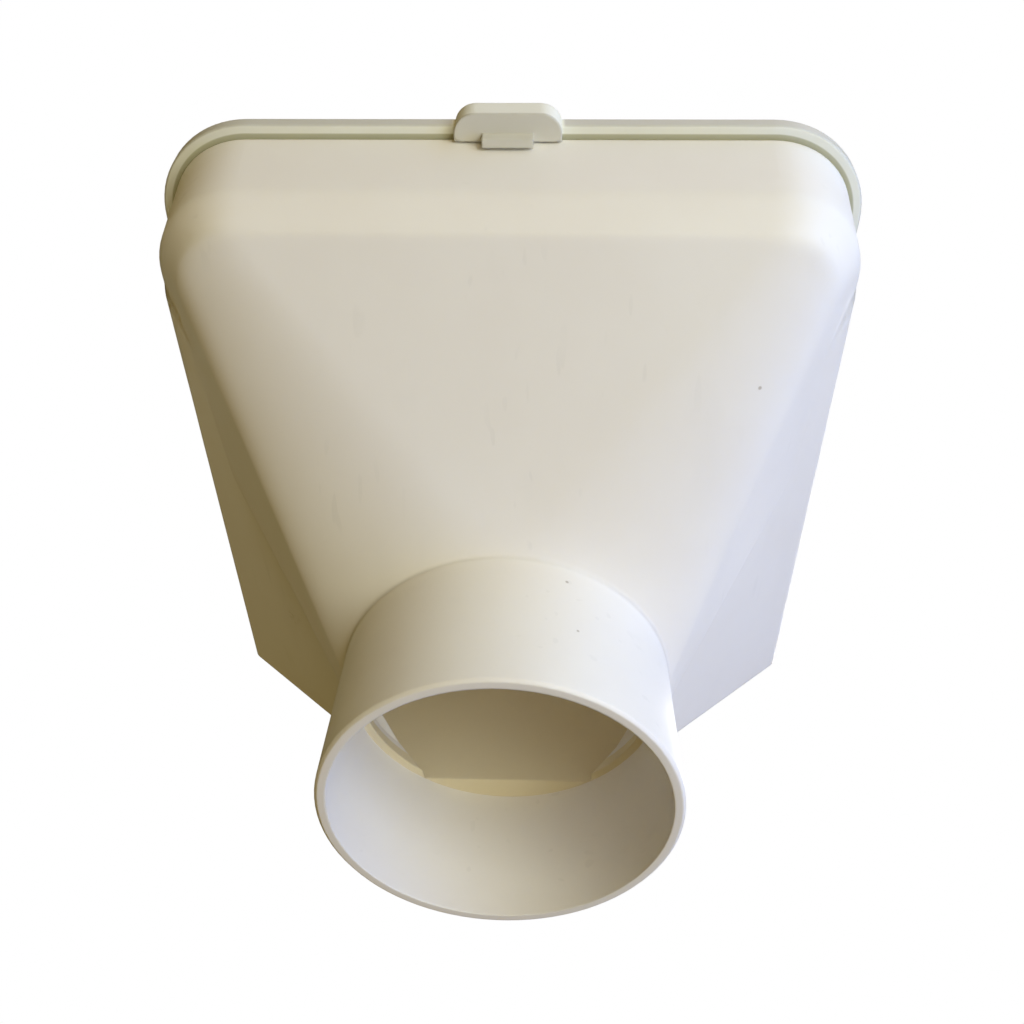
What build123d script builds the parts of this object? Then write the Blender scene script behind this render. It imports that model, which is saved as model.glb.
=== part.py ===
from build123d import *
import os
from math import cos, radians, sin, tan

# Downpipe socket: the round spout that pushes over the top of the pipe
pipe_diameter = 80.0
pipe_clearance = 0.2
wall = 2.3
socket_depth = 37.7
throat_height = 41.5
throat_flat = 1.0
throat_step = 0.9
stop_width = 2.2
socket_draw = 0.4
lip_chamfer = 0.7
bore_radius = pipe_diameter / 2 + pipe_clearance
socket_radius = bore_radius + wall
throat_radius = socket_radius - socket_draw
lip_radius = socket_radius + socket_draw

# Mouth: the open top slopes down to the front, so that leaves slide off
mouth_slope = 8.0
mouth_reach = 124.6
front_rim_height = 94.0
mouth_half_width = 82.4
mouth_corner = 21.0

# Band: the nearly upright wall round the mouth
band_depth = 21.3
front_lean = 5.3
side_draw = 1.0
rear_corner = 10.0

# Shoulder: the short steeper strip under the band at the front
shoulder_depth = 8.8
shoulder_lean = 31.0
shoulder_draw = 6.4
shoulder_corner = 15.0
floor_lean = 62.0

# Front funnel: where its back edge lies at the band and at the shoulder
funnel_back_at_band = 63.0
funnel_back_at_shoulder = 78.0
funnel_back_corner = 8.0

# Back of the hopper: a flat wall, with side floors that fall to the socket
back_reach = 35.6
side_floor_height = 88.2
side_floor_lean = 47.7
side_floor_slope = 6.0
side_floor_length = 134.0
side_corner = 4.0
keel_half_width = 14.0
valley_slope = 23.1
valley_reach = 14.0

# Screen lid: a flange on the rim, a skirt inside it and slots for the water
flange_overhang = 3.1
flange_thickness = 4.0
flange_chamfer = 0.8
flange_under_chamfer = 0.4
shadow_gap = 0.8
seat_width = 1.3
lid_clearance = 0.4
skirt_thickness = 1.8
skirt_depth = 9.0
screen_thickness = 2.4
slot_width = 3.6
slot_pitch = 7.2
slot_rows = 3
cross_bar = 6.0
screen_margin = 6.0

# Finger tab at the middle of the lid's front edge, with its snap tongue
tab_width = 25.0
tab_reach = 3.9
tab_height = 6.6
tab_corner = 5.0
tab_wall = 1.8
tongue_width = 11.8
tongue_thickness = 2.0
tongue_depth = 6.0

# The mouth's own plane: x across, y back along the slope, z square to the opening
slope = radians(mouth_slope)
mouth = Plane(
    origin=(0, -mouth_reach, front_rim_height),
    x_dir=(1, 0, 0),
    z_dir=(0, -sin(slope), cos(slope)),
)
mouth_normal = Axis(mouth.origin, mouth.z_dir)
# The band's lower back edge lies in the flat back of the hopper
mouth_length = (mouth_reach + back_reach - band_depth * sin(slope)) / cos(slope)

# The side floors run forwards until the front funnel takes over from them
valley = radians(valley_slope)
valley_plane = Plane(
    origin=(0, -valley_reach, throat_height),
    x_dir=(1, 0, 0),
    z_dir=(0, sin(valley), cos(valley)),
)


def draw_in(depth, lean):
    """How far a wall that leans by this angle comes in over a depth."""
    return depth * tan(radians(lean))


def mitre(upper_lean, lower_lean, inset):
    """How far in and up a bend moves when both its walls move in by the same inset."""
    middle = radians((upper_lean + lower_lean) / 2)
    reach = inset / cos(radians((lower_lean - upper_lean) / 2))
    return reach * cos(middle), reach * sin(middle)


def corner_rectangle(plane, half_width, front, back, front_corner, back_corner):
    """Closed outline with flat sides and rounded corners."""
    with BuildSketch(plane) as profile:
        with Locations((0, front)):
            Rectangle(2 * half_width, back - front, align=(Align.CENTER, Align.MIN))
        fillet(profile.vertices().group_by(Axis.Y)[0], front_corner)
        fillet(profile.vertices().group_by(Axis.Y)[-1], back_corner)
    return profile.sketch


def band_outline(depth, inset):
    """Outline of the band at a depth below the rim, set in from its outside."""
    return corner_rectangle(
        mouth.offset(-depth),
        mouth_half_width - side_draw * depth / band_depth - inset,
        draw_in(depth, front_lean) + inset,
        mouth_length - inset,
        mouth_corner - inset,
        rear_corner - inset,
    )


waist_half_width = mouth_half_width - side_draw
shoulder_half_width = waist_half_width - shoulder_draw
shoulder_front = draw_in(band_depth, front_lean) + draw_in(shoulder_depth, shoulder_lean)
keel_height = side_floor_height - (waist_half_width - keel_half_width) / tan(
    radians(side_floor_lean)
)


def hopper_form(inset, top, bottom, throat_circle, lower_circle):
    """Outside of the hopper, or its inside when it is set in by the wall.

    The two circles are the radii of the round throat at its top and bottom."""
    waist_up = mitre(front_lean, shoulder_lean, inset)[1]
    fold_in, fold_up = mitre(shoulder_lean, floor_lean, inset)
    throat_up = mitre(0, floor_lean + mouth_slope, inset)[1]
    waist_depth = band_depth - waist_up

    rim = band_outline(-top, inset)
    waist = band_outline(waist_depth, inset)
    funnel_top = corner_rectangle(
        mouth.offset(-waist_depth),
        mouth_half_width - side_draw * waist_depth / band_depth - inset,
        draw_in(waist_depth, front_lean) + inset,
        funnel_back_at_band - inset,
        mouth_corner - inset,
        funnel_back_corner - inset,
    )
    funnel_fold = corner_rectangle(
        mouth.offset(fold_up - band_depth - shoulder_depth),
        shoulder_half_width - fold_in,
        shoulder_front + fold_in,
        funnel_back_at_shoulder - inset,
        shoulder_corner - inset,
        funnel_back_corner - inset,
    )
    throat = corner_rectangle(
        Plane.XY.offset(throat_height + throat_up),
        throat_circle,
        -throat_circle,
        throat_circle,
        throat_circle - throat_flat,
        throat_circle - throat_flat,
    )

    with BuildPart() as form:
        # Side floors, drawn on the flat back and carried forwards to the valleys
        with BuildSketch(Plane.XZ.offset(-back_reach)) as section:
            Polygon(
                (-waist_half_width, side_floor_height + band_depth / 2),
                (waist_half_width, side_floor_height + band_depth / 2),
                (waist_half_width, side_floor_height),
                (keel_half_width, keel_height),
                (-keel_half_width, keel_height),
                (-waist_half_width, side_floor_height),
                align=None,
            )
            fillet(section.vertices().group_by(Axis.Y)[1], side_corner)
            if inset:
                offset(amount=-inset, kind=Kind.INTERSECTION)
        forwards = radians(side_floor_slope)
        extrude(amount=side_floor_length, dir=(0, -cos(forwards), -sin(forwards)))
        split(bisect_by=valley_plane.offset(inset), keep=Keep.TOP)
        loft(sections=[rim, waist], ruled=True)
        loft(sections=[funnel_top, funnel_fold, throat], ruled=True)
        with Locations((0, 0, bottom)):
            Cone(
                lower_circle,
                throat_circle,
                throat_height + throat_up - bottom,
                align=(Align.CENTER, Align.CENTER, Align.MIN),
            )
        split(bisect_by=Plane.XZ.offset(inset - back_reach), keep=Keep.TOP)
        split(bisect_by=Plane.XY.offset(bottom), keep=Keep.TOP)
    return form.part


# Hopper: the whole catcher body with its socket, moulded in one
outside = hopper_form(0, 0, 0, throat_radius, bore_radius)
inside = hopper_form(
    wall, wall, socket_depth, bore_radius - throat_step, bore_radius - stop_width
)
with BuildPart() as hopper_body:
    add(outside)
    Cone(
        lip_radius,
        throat_radius,
        throat_height,
        align=(Align.CENTER, Align.CENTER, Align.MIN),
    )
    chamfer(hopper_body.faces().sort_by(Axis.Z)[0].edges(), lip_chamfer)
    add(inside, mode=Mode.SUBTRACT)
    Cylinder(
        bore_radius,
        socket_depth,
        align=(Align.CENTER, Align.CENTER, Align.MIN),
        mode=Mode.SUBTRACT,
    )

hopper_body.part.label = "hopper_body"

# Screen lid: drawn in the mouth's own plane, so that it follows the slope
skirt_inset = wall + lid_clearance
well_inset = skirt_inset + skirt_thickness
flange_outline = corner_rectangle(
    mouth.offset(shadow_gap),
    mouth_half_width + flange_overhang,
    -flange_overhang,
    mouth_length + flange_overhang,
    mouth_corner + flange_overhang,
    rear_corner + flange_overhang,
)
seat_outline = band_outline(0, wall - seat_width)
well_outline = band_outline(0, well_inset)
skirt_top = band_outline(0, skirt_inset)
skirt_bottom = band_outline(skirt_depth, skirt_inset)
well_bottom = band_outline(skirt_depth, well_inset)
tab_front = flange_overhang + tab_reach
tab_bottom = shadow_gap + flange_thickness - tab_height
screen_underside = shadow_gap + flange_thickness - screen_thickness

# The slots fill the flat of the screen inside its plain margin
open_half_width = mouth_half_width - well_inset - screen_margin
open_front = well_inset + screen_margin
open_length = mouth_length - 2 * open_front
slot_columns = int((2 * open_half_width - slot_width) / slot_pitch) + 1
slot_length = (open_length - (slot_rows - 1) * cross_bar) / slot_rows

with BuildPart() as screen_lid:
    extrude(flange_outline, amount=flange_thickness)
    chamfer(screen_lid.faces().sort_by(mouth_normal)[0].edges(), flange_under_chamfer)
    with BuildSketch(mouth.offset(tab_bottom)) as tab:
        with Locations((0, -tab_front)):
            Rectangle(
                tab_width,
                tab_front - lid_clearance,
                align=(Align.CENTER, Align.MIN),
            )
        fillet(tab.vertices().group_by(Axis.Y)[0], tab_corner)
    extrude(amount=tab_height)
    chamfer(screen_lid.faces().sort_by(mouth_normal)[-1].edges(), flange_chamfer)
    extrude(seat_outline, amount=shadow_gap)
    loft(sections=[skirt_top, skirt_bottom], ruled=True)
    loft(sections=[well_outline, well_bottom], ruled=True, mode=Mode.SUBTRACT)
    extrude(well_outline, amount=screen_underside, mode=Mode.SUBTRACT)
    # The tab is hollow from below on both sides of the tongue
    with BuildSketch(mouth.offset(tab_bottom)) as tab_hollow:
        with Locations((0, tab_wall - tab_front)):
            Rectangle(
                tab_width - 2 * tab_wall,
                tab_front - tab_wall,
                align=(Align.CENTER, Align.MIN),
            )
        fillet(tab_hollow.vertices().group_by(Axis.Y)[0], tab_corner - tab_wall)
    extrude(amount=shadow_gap - tab_bottom, mode=Mode.SUBTRACT)
    with BuildSketch(mouth.offset(shadow_gap)) as tongue:
        with Locations((0, -lid_clearance)):
            Rectangle(
                tongue_width, tongue_thickness, align=(Align.CENTER, Align.MAX)
            )
    extrude(amount=-tongue_depth)
    with BuildSketch(mouth.offset(screen_underside)) as slots:
        with Locations((0, open_front + open_length / 2)):
            with GridLocations(
                slot_pitch, slot_length + cross_bar, slot_columns, slot_rows
            ):
                Rectangle(slot_width, slot_length)
    extrude(amount=screen_thickness, mode=Mode.SUBTRACT)

screen_lid.part.label = "screen_lid"

os.makedirs("parts", exist_ok=True)
for piece in (hopper_body.part, screen_lid.part):
    export_step(piece, f"parts/{piece.label}.step")
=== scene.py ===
from collections import namedtuple
from math import cos, radians, sin

import bmesh
import bpy
from mathutils import Matrix, Vector


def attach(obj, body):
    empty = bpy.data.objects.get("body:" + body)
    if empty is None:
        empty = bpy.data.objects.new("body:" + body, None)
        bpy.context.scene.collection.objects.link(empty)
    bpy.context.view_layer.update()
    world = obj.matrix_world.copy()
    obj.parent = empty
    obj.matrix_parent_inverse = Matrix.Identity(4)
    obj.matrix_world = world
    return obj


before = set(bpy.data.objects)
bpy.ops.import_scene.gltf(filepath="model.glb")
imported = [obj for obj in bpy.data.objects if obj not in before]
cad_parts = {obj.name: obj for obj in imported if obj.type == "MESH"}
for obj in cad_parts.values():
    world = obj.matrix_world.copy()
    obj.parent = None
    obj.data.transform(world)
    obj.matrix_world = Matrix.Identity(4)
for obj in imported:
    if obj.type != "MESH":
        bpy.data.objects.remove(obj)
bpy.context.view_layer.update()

scene = bpy.context.scene
MM = 0.001

# The mouth's own frame: across, back along the slope, and square to the opening
SLOPE = radians(8.0)
MOUTH = Vector((0.0, -124.6, 94.0)) * MM
ACROSS = Vector((1.0, 0.0, 0.0))
BACK = Vector((0.0, cos(SLOPE), sin(SLOPE)))
UP = Vector((0.0, -sin(SLOPE), cos(SLOPE)))

# Outline of the hopper's band at the mouth
MOUTH_HALF_WIDTH = 82.4 * MM
MOUTH_LENGTH = 158.8 * MM
FRONT_CORNER = 21.0 * MM
REAR_CORNER = 10.0 * MM

# Sharp moulded edges are rounded by this much
EDGE = 0.7 * MM

# A soft bend's middle radius passes into its side radius over this stretch of the half
# width, it fades out over this much before its end, both in millimetres, and it is
# full over this share of its reach
BEND_SIDE = (50.0, 66.0)
BEND_FADE = 20.0
BEND_CORE = 0.4

# Finger tab at the middle of the lid's front edge, in millimetres
TAB_HALF_WIDTH = 12.5
TAB_REACH = 7.0
TAB_CORNER = 5.0

# Painted shade on the lid, in the gap under the flange, on its outer face and under the tab:
# where each one starts and where it is full, in millimetres outside the band, above the rim or
# away from the middle
GAP_SIDE = (1.25, 0.80)
GAP_FOOT = (0.2, 0.5)
GAP_HEAD = (1.4, 1.1)
FLANGE_FACE = (2.6, 2.95)
BESIDE_TAB = (12.6, 13.4)
UNDER_TAB = (12.7, 12.4)
TAB_ROOT = (-0.2, 0.2)
TAB_FOOT = (-0.9, -1.5)

# Painted warm shade on the hopper's inner faces: how far a face's normal points up for a
# floor or to the front for the back, then where the shade starts and is full, in millimetres
FLOOR_FACING = (0.25, 0.35)
BACK_FACING = (0.7, 0.9)
AHEAD_OF_BACK = (35.4, 34.9)
AT_BACK = (30.0, 31.0)
WITHIN_BORE = (41.0, 40.4)
UNDER_THROAT = (41.3, 41.0)
ABOVE_SOCKET = (37.5, 37.65)

# Soft fold of the wall: its depth below the mouth, how far it reaches up and down,
# its radius in the middle and at the sides, and where it ends towards the back
Bend = namedtuple("Bend", "depth reach radius side_radius end")

# Small mark on a face: its centre and radius, how strong it is, and its colour
Mark = namedtuple("Mark", "centre radius strength tint")


class Graph:
    """Short-hand for adding and linking the nodes of one material or world."""

    def __init__(self, owner):
        owner.use_nodes = True
        self.tree = owner.node_tree
        self.tree.nodes.clear()

    def add(self, kind, inputs=None, **settings):
        node = self.tree.nodes.new(kind)
        for name, value in settings.items():
            setattr(node, name, value)
        for name, value in (inputs or {}).items():
            if isinstance(value, bpy.types.NodeSocket):
                self.tree.links.new(value, node.inputs[name])
            else:
                node.inputs[name].default_value = value
        return node

    def math(self, operation, *values):
        node = self.add("ShaderNodeMath", dict(enumerate(values)), operation=operation)
        return node.outputs[0]

    def product(self, first, *others):
        """All the masks multiplied together."""
        for other in others:
            first = self.math("MULTIPLY", first, other)
        return first

    def ramp(self, value, low, high, start=0.0, end=1.0):
        """Smoothly maps value from low..high to start..end."""
        node = self.add(
            "ShaderNodeMapRange",
            {"Value": value, "From Min": low, "From Max": high, "To Min": start, "To Max": end},
            interpolation_type="SMOOTHSTEP",
        )
        return node.outputs["Result"]

    def fade(self, value, stretch):
        """0 before and 1 past a stretch in millimetres, which may run downwards."""
        low, high = stretch
        return self.ramp(value, low * MM, high * MM)

    def mix(self, factor, a, b):
        node = self.add("ShaderNodeMix", data_type="RGBA")
        for index, value in ((0, factor), (6, a), (7, b)):
            if isinstance(value, bpy.types.NodeSocket):
                self.tree.links.new(value, node.inputs[index])
            else:
                node.inputs[index].default_value = value
        return node.outputs[2]

    def noise(self, vector, scale, detail=2.0, roughness=0.5):
        node = self.add(
            "ShaderNodeTexNoise",
            {"Vector": vector, "Scale": scale, "Detail": detail, "Roughness": roughness},
        )
        return node.outputs["Fac"]


def rgba(red, green, blue):
    return (red, green, blue, 1.0)


def darker(colour, share):
    return rgba(*(value * share for value in colour))


def spot(graph, where, centre, radius, soft):
    """1 inside a small ball round centre (millimetres), 0 outside it."""
    offset = graph.add(
        "ShaderNodeVectorMath",
        {0: where, 1: tuple(value * MM for value in centre)},
        operation="DISTANCE",
    )
    return graph.fade(offset.outputs["Value"], (radius + soft, radius - soft))


def measure(graph, where, axis):
    """Place along one axis of the mouth's frame, in metres."""
    node = graph.add("ShaderNodeVectorMath", {0: where, 1: tuple(axis)}, operation="DOT_PRODUCT")
    return graph.math("SUBTRACT", node.outputs["Value"], MOUTH.dot(axis))


def outside_band(graph, across, along, rear):
    """Distance outside the band's rounded outline, in metres."""
    less = graph.math("MULTIPLY", rear, FRONT_CORNER - REAR_CORNER)
    radius = graph.math("SUBTRACT", FRONT_CORNER, less)
    sideways = graph.math("SUBTRACT", across, MOUTH_HALF_WIDTH)
    sideways = graph.math("ADD", sideways, radius)
    endways = graph.math("SUBTRACT", graph.math("ABSOLUTE", along), MOUTH_LENGTH / 2)
    endways = graph.math("ADD", endways, radius)
    corner = graph.add(
        "ShaderNodeCombineXYZ",
        {0: graph.math("MAXIMUM", sideways, 0.0), 1: graph.math("MAXIMUM", endways, 0.0)},
    )
    length = graph.add("ShaderNodeVectorMath", {0: corner.outputs[0]}, operation="LENGTH")
    return graph.math("SUBTRACT", length.outputs["Value"], radius)


def lid_rim_shade(graph, where):
    """Masks of the painted shade in the gap under the flange, on the flange's outer face and
    under the tab.
    """
    across = graph.math("ABSOLUTE", measure(graph, where, ACROSS))
    along = graph.math("SUBTRACT", measure(graph, where, BACK), MOUTH_LENGTH / 2)
    height = measure(graph, where, UP)
    rear = graph.math("GREATER_THAN", along, 0.0)
    outside = outside_band(graph, across, along, rear)
    gap_shade = graph.product(
        graph.fade(outside, GAP_SIDE),
        graph.fade(height, GAP_FOOT),
        graph.fade(height, GAP_HEAD),
    )
    beside_tab = graph.math("MAXIMUM", graph.fade(across, BESIDE_TAB), rear)
    face = graph.product(graph.fade(outside, FLANGE_FACE), beside_tab)
    under_tab_shade = graph.product(
        graph.fade(across, UNDER_TAB),
        graph.fade(outside, TAB_ROOT),
        graph.fade(height, TAB_FOOT),
    )
    return gap_shade, face, under_tab_shade


def inner_faces(graph, where):
    """1 on the hopper's inner faces above the socket, 0 elsewhere."""
    place = graph.add("ShaderNodeSeparateXYZ", {0: where})
    x, y, z = place.outputs
    flat = graph.add("ShaderNodeCombineXYZ", {0: x, 1: y})
    radius = graph.add("ShaderNodeVectorMath", {0: flat.outputs[0]}, operation="LENGTH")
    geometry = graph.add("ShaderNodeNewGeometry")
    facing = graph.add("ShaderNodeSeparateXYZ", {0: geometry.outputs["True Normal"]})
    floors = graph.product(
        graph.ramp(facing.outputs[2], *FLOOR_FACING),
        graph.fade(y, AHEAD_OF_BACK),
    )
    forwards = graph.math("MULTIPLY", facing.outputs[1], -1.0)
    back = graph.product(graph.ramp(forwards, *BACK_FACING), graph.fade(y, AT_BACK))
    shelf = graph.product(
        graph.fade(radius.outputs["Value"], WITHIN_BORE),
        graph.fade(z, UNDER_THROAT),
    )
    inside = graph.math("MAXIMUM", graph.math("MAXIMUM", floors, back), shelf)
    return graph.product(inside, graph.fade(z, ABOVE_SOCKET))


def hair_scratches(graph, where):
    """Mask of fine scratches in two directions, in loose patches."""
    scratches = None
    for turn, scale in ((0.5, 260.0), (-0.9, 330.0)):
        turned = graph.add(
            "ShaderNodeMapping",
            {"Vector": where, "Rotation": (0.25, 0.1, turn), "Scale": (1.0, 0.03, 1.0)},
        )
        line = graph.noise(turned.outputs[0], scale, detail=1.0, roughness=0.3)
        line = graph.ramp(line, 0.71, 0.75)
        scratches = line if scratches is None else graph.math("MAXIMUM", scratches, line)
    patch = graph.ramp(graph.noise(where, scale=30.0, detail=1.0), 0.50, 0.66)
    return graph.product(scratches, patch)


def bend_radius(graph, where, bends):
    """How far the shading is rounded: a sharp edge's radius, and more at each bend."""
    if not bends:
        return EDGE
    depth = measure(graph, where, UP)
    along = measure(graph, where, BACK)
    side = graph.fade(graph.math("ABSOLUTE", measure(graph, where, ACROSS)), BEND_SIDE)
    radius = EDGE
    for bend in bends:
        front = graph.fade(along, (bend.end, bend.end - BEND_FADE))
        apart = graph.math("ABSOLUTE", graph.math("ADD", depth, bend.depth * MM))
        near = graph.fade(apart, (bend.reach, BEND_CORE * bend.reach))
        widest = graph.ramp(side, 0.0, 1.0, bend.radius * MM, bend.side_radius * MM)
        radius = graph.math("MAXIMUM", radius, graph.product(front, near, widest))
    return radius


def plastic(name, colour, shade, rough, bends=(), specks=(), dark_patches=(), rim=(), inner_shade=()):
    """Moulded plastic: fine orange peel, soft colour drift, hair scratches and specks.

    Rim holds the painted shade colours for the lid's gap, its outer face and the tab's underside.
    Inner is the painted warm shade on the inner faces above the socket."""
    material = bpy.data.materials.new(name)
    g = Graph(material)
    where = g.add("ShaderNodeTexCoord").outputs["Object"]

    drift = g.noise(where, scale=22.0, detail=3.0, roughness=0.55)
    base = g.mix(g.ramp(drift, 0.35, 0.68), rgba(*colour), rgba(*shade))

    # Flow of the moulding: very long soft streaks
    long = g.add("ShaderNodeMapping", {"Vector": where, "Scale": (1.0, 0.25, 1.0)})
    streak = g.noise(long.outputs[0], scale=70.0)
    base = g.mix(g.ramp(streak, 0.58, 0.75, end=0.25), base, darker(colour, 0.93))

    scratches = hair_scratches(g, where)
    base = g.mix(g.product(scratches, 0.22), base, darker(colour, 0.80))

    for speck in specks:
        shape = spot(g, where, speck.centre, speck.radius, speck.radius * 0.45)
        base = g.mix(g.product(shape, speck.strength), base, rgba(*speck.tint))
    # Broken darker patches
    for dark_patch in dark_patches:
        shape = spot(g, where, dark_patch.centre, dark_patch.radius, dark_patch.radius * 0.8)
        broken = g.ramp(g.noise(where, scale=900.0, roughness=0.6), 0.48, 0.60)
        base = g.mix(g.product(shape, broken, dark_patch.strength), base, rgba(*dark_patch.tint))

    # Painted warm shade on the inner faces above the socket
    if inner_shade:
        base = g.mix(inner_faces(g, where), base, rgba(*inner_shade))
    # Painted shade: in the gap under the flange, on the flange's outer face and under the tab
    if rim:
        for mask, tint in zip(lid_rim_shade(g, where), rim):
            base = g.mix(mask, base, rgba(*tint))

    gloss = g.noise(where, scale=140.0, detail=3.0, roughness=0.6)
    roughness = g.ramp(gloss, 0.30, 0.70, rough - 0.06, rough + 0.07)
    roughness = g.math("ADD", roughness, g.product(scratches, 0.12))

    normal = g.add("ShaderNodeBevel", {"Radius": bend_radius(g, where, bends)}, samples=8)
    wave = g.noise(where, scale=160.0, roughness=0.4)
    peel = g.noise(where, scale=1500.0)
    for height, strength, distance, sunk in (
        (wave, 0.10, 0.5, False),
        (peel, 0.16, 0.05, False),
        (scratches, 0.12, 0.05, True),
    ):
        normal = g.add(
            "ShaderNodeBump",
            {
                "Height": height,
                "Strength": strength,
                "Distance": distance * MM,
                "Normal": normal.outputs[0],
            },
            invert=sunk,
        )
    surface = g.add(
        "ShaderNodeBsdfPrincipled",
        {
            "Base Color": base,
            "Roughness": roughness,
            "Normal": normal.outputs[0],
            "IOR": 1.49,
            "Specular IOR Level": 0.42,
        },
    )
    g.add("ShaderNodeOutputMaterial", {"Surface": surface.outputs[0]})
    return material


BROWN = (0.36, 0.30, 0.22)
PATCH_TINT = (0.55, 0.50, 0.40)
GATE_MARK_HIGHLIGHT = (0.95, 0.90, 0.70)

hopper_plastic = plastic(
    "hopper_plastic",
    colour=(0.848, 0.818, 0.758),
    shade=(0.832, 0.797, 0.734),
    rough=0.46,
    # From the mouth down: band, shoulder, upper corners of the floor, valleys
    bends=(
        Bend(depth=21.3, reach=8.0, radius=6.0, side_radius=7.0, end=62.0),
        Bend(depth=30.1, reach=4.0, radius=2.8, side_radius=7.0, end=62.0),
        Bend(depth=42.0, reach=20.0, radius=0.7, side_radius=7.0, end=62.0),
        Bend(depth=62.0, reach=34.0, radius=2.2, side_radius=2.2, end=125.0),
    ),
    # Three brown specks on the front floor and the socket, and the gate's mark inside, painted
    # pale as a highlight
    specks=(
        Mark((58.35, -79.94, 57.57), 0.42, 0.7, BROWN),
        Mark((15.05, -39.40, 36.16), 0.40, 0.7, BROWN),
        Mark((17.41, -38.74, 19.92), 0.34, 0.6, BROWN),
        # Painted highlight on the gate's mark
        Mark((0.30, 34.60, 37.70), 0.60, 0.8, GATE_MARK_HIGHLIGHT),
    ),
    # Broken darker patch where the left valley's crease runs
    dark_patches=(Mark((-60.3, -1.0, 65.1), 2.2, 0.35, PATCH_TINT),),
    # Painted warm shade inside, above the socket
    inner_shade=(0.775, 0.690, 0.478),
)
lid_plastic = plastic(
    "lid_plastic",
    colour=(0.826, 0.828, 0.722),
    shade=(0.805, 0.803, 0.694),
    rough=0.44,
    # Painted shade colours: in the gap under the flange, on its outer face and under the tab
    rim=((0.50, 0.49, 0.34), (0.61, 0.60, 0.53), (0.64, 0.62, 0.54)),
)

for node, material in (("hopper_body", hopper_plastic), ("screen_lid", lid_plastic)):
    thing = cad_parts[node]
    if not thing.material_slots:
        thing.data.materials.append(material)
    for place in thing.material_slots:
        place.material = material


def outline(half_width, front, back, front_corner, back_corner, steps=8):
    """Rounded rectangle in the mouth's plane, as pairs of across and back."""
    points = []
    for side, end, radius, start in (
        (-1, front, front_corner, 180),
        (1, front, front_corner, 270),
        (1, back, back_corner, 0),
        (-1, back, back_corner, 90),
    ):
        inwards = 1 if end == front else -1
        centre = (side * (half_width - radius), end + inwards * radius)
        for step in range(steps + 1):
            turn = radians(start + 90 * step / steps)
            points.append((centre[0] + radius * cos(turn), centre[1] + radius * sin(turn)))
    return points


def tab_plate(inset=0.03, rear_gap=0.35, rear_corner=1.5, depth=0.9, thickness=0.94):
    """Flat plate that closes the hollow tab from below, with softened lower edges.

    It keeps just inside the tab's outline and the front of the band, and its top
    lies at a depth below the rim. All of them are in millimetres."""
    mesh = bmesh.new()
    corners = outline(
        TAB_HALF_WIDTH - inset, inset - TAB_REACH, -rear_gap, TAB_CORNER - inset, rear_corner
    )
    loop = [mesh.verts.new(MOUTH + (ACROSS * u + BACK * v - UP * depth) * MM) for u, v in corners]
    face = mesh.faces.new(loop)
    lower = bmesh.ops.extrude_face_region(mesh, geom=[face])["geom"]
    moved = [part for part in lower if isinstance(part, bmesh.types.BMVert)]
    bmesh.ops.translate(mesh, verts=moved, vec=-UP * thickness * MM)
    bmesh.ops.recalc_face_normals(mesh, faces=mesh.faces)
    rim = [edge for edge in mesh.edges if all(vertex in moved for vertex in edge.verts)]
    bmesh.ops.bevel(mesh, geom=rim, offset=inset * MM, segments=2, affect="EDGES", profile=0.5)
    data = bpy.data.meshes.new("tab_plate")
    mesh.to_mesh(data)
    mesh.free()
    plate = bpy.data.objects.new("tab_plate", data)
    scene.collection.objects.link(plate)
    data.materials.append(lid_plastic)
    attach(plate, "root")


tab_plate()


def room():
    """Dim brown room, brighter and warm towards the window side. The camera sees white."""
    world = bpy.data.worlds.new("room")
    scene.world = world
    g = Graph(world)
    direction = g.add("ShaderNodeTexCoord").outputs["Generated"]
    window_side = Vector((0.8, -0.5, -0.3)).normalized()
    towards = g.add(
        "ShaderNodeVectorMath", {0: direction, 1: tuple(window_side)}, operation="DOT_PRODUCT"
    )
    light = g.mix(
        g.ramp(towards.outputs["Value"], -0.4, 1.0),
        rgba(0.140, 0.105, 0.044),
        rgba(0.485, 0.330, 0.047),
    )
    dim = g.add("ShaderNodeBackground", {"Color": light, "Strength": 1.0})
    white = g.add("ShaderNodeBackground", {"Color": rgba(1.0, 1.0, 1.0), "Strength": 1.0})
    path = g.add("ShaderNodeLightPath")
    shown = g.add(
        "ShaderNodeMixShader",
        {0: path.outputs["Is Camera Ray"], 1: dim.outputs[0], 2: white.outputs[0]},
    )
    g.add("ShaderNodeOutputWorld", {"Surface": shown.outputs[0]})


room()


def floor(height, half, paint=(0.86, 0.86, 0.85), even_share=0.8):
    """Plain pale floor far below, which only the camera sees, lit mostly evenly."""
    data = bpy.data.meshes.new("floor")
    corners = [(half * x, half * y, height) for x, y in ((-1, -1), (1, -1), (1, 1), (-1, 1))]
    data.from_pydata(corners, [], [(0, 1, 2, 3)])
    thing = bpy.data.objects.new("floor", data)
    scene.collection.objects.link(thing)
    material = bpy.data.materials.new("floor_paint")
    g = Graph(material)
    seen = g.add("ShaderNodeLightPath")
    clear = g.add("ShaderNodeBsdfTransparent")
    lit = g.add("ShaderNodeBsdfDiffuse", {"Color": rgba(*paint)})
    even = g.add("ShaderNodeEmission", {"Color": rgba(*paint), "Strength": 1.0})
    pale = g.add("ShaderNodeMixShader", {0: even_share, 1: lit.outputs[0], 2: even.outputs[0]})
    mixed = g.add(
        "ShaderNodeMixShader",
        {0: seen.outputs["Is Camera Ray"], 1: clear.outputs[0], 2: pale.outputs[0]},
    )
    g.add("ShaderNodeOutputMaterial", {"Surface": mixed.outputs[0]})
    data.materials.append(material)


floor(height=-0.75, half=4.0)

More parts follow.
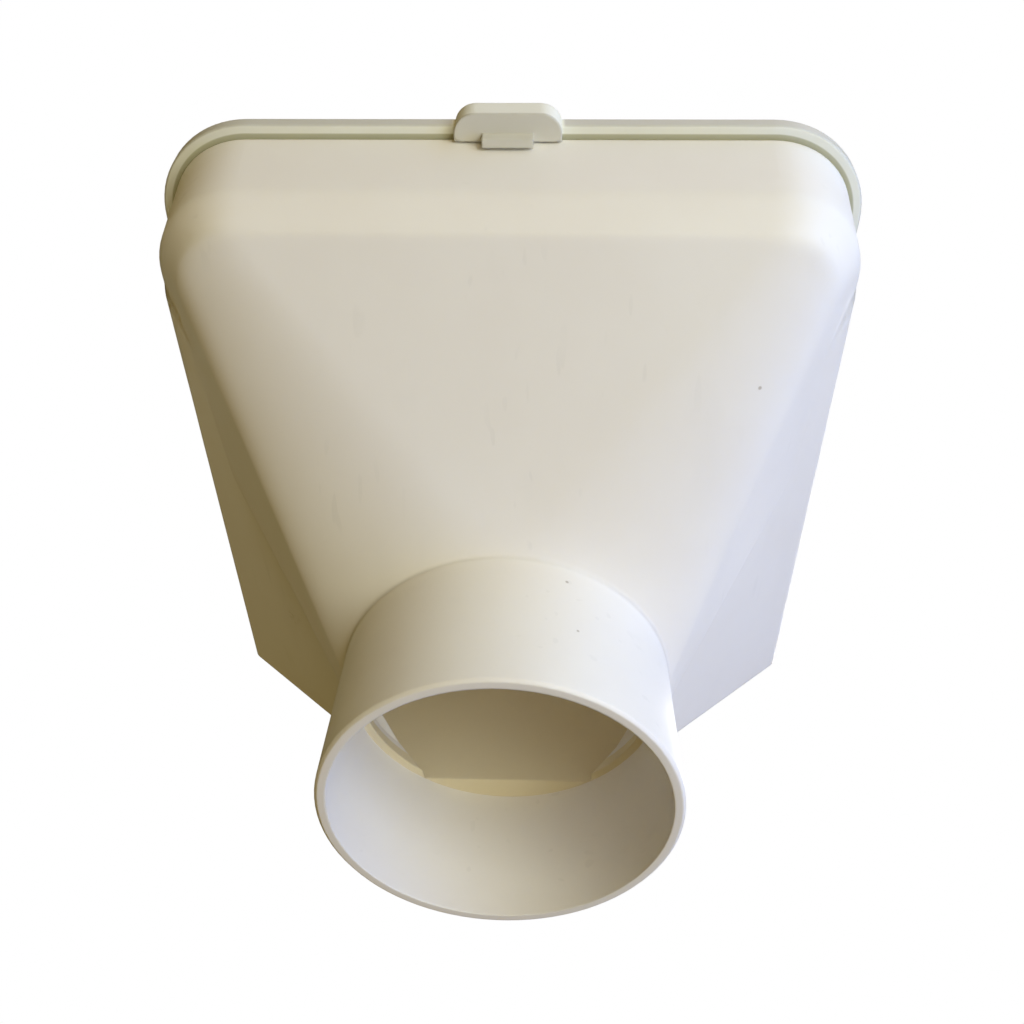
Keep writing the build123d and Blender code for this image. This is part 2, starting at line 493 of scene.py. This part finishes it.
# Soft square lamps at one distance from the middle of the object
FOCUS = Vector((0.0, -0.04, 0.06))
LAMP_DISTANCE = 0.8
LAMP_SIZE = 0.6


def lamp(name, towards, power, colour):
    data = bpy.data.lights.new(name, "AREA")
    data.shape = "RECTANGLE"
    data.size = data.size_y = LAMP_SIZE
    data.energy = power
    data.color = colour
    thing = bpy.data.objects.new(name, data)
    thing.location = FOCUS + Vector(towards).normalized() * LAMP_DISTANCE
    aim = FOCUS - thing.location
    thing.rotation_mode = "QUATERNION"
    thing.rotation_quaternion = aim.to_track_quat("-Z", "Y")
    scene.collection.objects.link(thing)


for name, towards, power, colour in (
    ("window", (0.55, -0.61, -0.57), 4.6, (0.91, 0.99, 1.0)),
    ("sky", (0.90, 0.07, -0.42), 3.3, (0.0, 0.24, 1.0)),
    ("side", (0.75, -0.60, 0.25), 2.7, (0.22, 0.47, 1.0)),
    ("above", (0.22, -0.46, 0.86), 1.0, (0.81, 0.75, 1.0)),
    ("left", (-0.90, 0.20, 0.30), 0.28, (0.85, 1.0, 0.95)),
    ("behind", (0.25, 0.60, 0.76), 4.5, (1.0, 0.97, 0.90)),
):
    lamp(name, towards, power, colour)

# Camera: below the front of the object, looking up at it
EYE = Vector((10.29, -206.09, -163.35)) * MM
PITCH, YAW, ROLL = radians(53.68), radians(-3.14), radians(3.27)
LENS, SENSOR = 38.67, 36.0
NEAREST = 0.005

forward = Vector((sin(YAW) * cos(PITCH), cos(YAW) * cos(PITCH), sin(PITCH)))
level = Vector((cos(YAW), -sin(YAW), 0.0))
upright = level.cross(forward)
right = level * cos(ROLL) + upright * sin(ROLL)
up = upright * cos(ROLL) - level * sin(ROLL)
turned = Matrix((right, up, -forward)).transposed().to_4x4()
camera = bpy.data.objects.new("camera", bpy.data.cameras.new("camera"))
camera.data.sensor_fit = "HORIZONTAL"
camera.data.sensor_width = SENSOR
camera.data.lens = LENS
camera.data.clip_start = NEAREST
camera.matrix_world = Matrix.Translation(EYE) @ turned
scene.collection.objects.link(camera)
scene.camera = camera
scene.view_settings.view_transform = "Standard"
